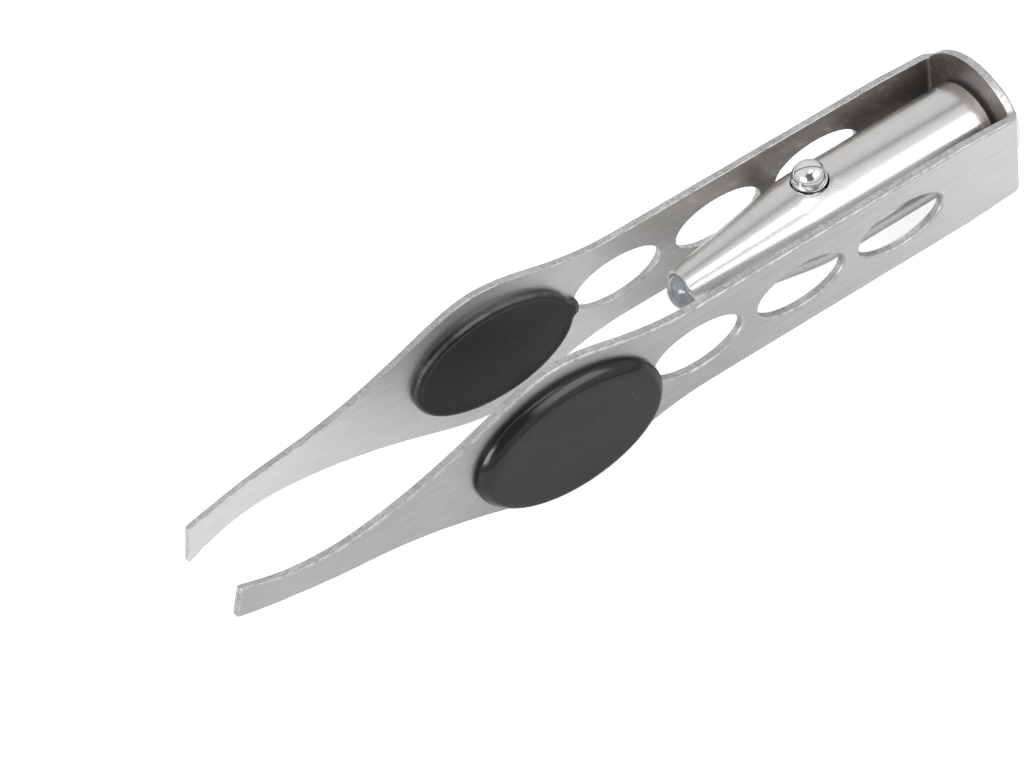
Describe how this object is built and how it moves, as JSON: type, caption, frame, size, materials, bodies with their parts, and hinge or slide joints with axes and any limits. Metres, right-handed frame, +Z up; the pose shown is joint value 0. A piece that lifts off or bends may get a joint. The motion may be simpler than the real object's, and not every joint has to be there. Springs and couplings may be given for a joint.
{
  "type": "lighted tweezers",
  "caption": "Steel tweezers with rubber grips and a small push-button torch held between the arms, shining at the tips.",
  "frame": {"origin": "middle of the object's length and width, on the surface that it rests on", "axes": "+X towards the rear cap, the tips point to -X; +Y towards the left arm; +Z up, through the button"},
  "size_m": [0.0903, 0.0168, 0.015],
  "materials": {
    "brushed_strip": "satin brushed along the arm",
    "grip_rubber": "satin",
    "barrel_metal": "satin",
    "cap_metal": "satin",
    "black_seal": "matt",
    "spring_wire": "bright",
    "cell_can": "bright",
    "sleeve_film": "translucent matt",
    "contact_brass": "bright",
    "carrier_plastic": "matt",
    "board_laminate": "satin",
    "switch_plastic": "matt",
    "switch_metal": "satin",
    "plunger_plastic": "matt",
    "polished_chrome": "mirror polish",
    "clear_lens": "clear",
    "lead_metal": "tinned",
    "phosphor": "matt"
  },
  "bodies": {
    "light": {"end_plate": "brushed_strip", "light_barrel": "barrel_metal", "sealing_ring": "black_seal", "cell_sleeve": "sleeve_film", "rear_cell": "cell_can", "middle_cell": "cell_can", "front_cell": "cell_can", "front_contact": "contact_brass", "carrier": "carrier_plastic", "circuit_board": "board_laminate", "ground_contact": "contact_brass", "switch_body": "switch_plastic", "switch_cover": "switch_metal", "switch_terminals": "switch_metal", "led_lens": "clear_lens", "led_cathode": "lead_metal", "led_anode": "lead_metal", "led_chip": "phosphor"},
    "left_arm": {"left_arm": "brushed_strip", "left_grip": "grip_rubber"},
    "right_arm": {"right_arm": "brushed_strip", "right_grip": "grip_rubber"},
    "button": {"button": "polished_chrome", "switch_plunger": "plunger_plastic"},
    "contact_spring": {"contact_spring": "spring_wire"},
    "tail_cap": {"tail_cap": "cap_metal"}
  },
  "joints": [
    {"name": "left_arm_squeeze", "type": "hinge", "parent": "light", "child": "left_arm", "pos_m": [0.04222, 0.00595, 0.0075], "axis": [0, 0, 1], "range_deg": [0, 2.55], "stiffness_Nm_per_rad": 1.5},
    {"name": "right_arm_squeeze", "type": "hinge", "parent": "light", "child": "right_arm", "pos_m": [0.04222, -0.00595, 0.0075], "axis": [0, 0, -1], "range_deg": [0, 2.55], "stiffness_Nm_per_rad": 1.5},
    {"name": "button_press", "type": "slide", "parent": "light", "child": "button", "axis": [0, 0, -1], "range_m": [0, 0.0004], "stiffness_N_per_m": 1500},
    {"name": "tail_cap_travel", "type": "slide", "parent": "light", "child": "contact_spring", "axis": [1, 0, 0], "range_m": [0, 0.0026]},
    {"name": "tail_cap_turn", "type": "hinge", "parent": "contact_spring", "child": "tail_cap", "pos_m": [0.04353, 0, 0.0075], "axis": [1, 0, 0], "range_deg": [0, 1872]}
  ],
  "couplings": [
    {"joint": "tail_cap_turn", "follows": "tail_cap_travel", "rad_per_m": 12566}
  ]
}
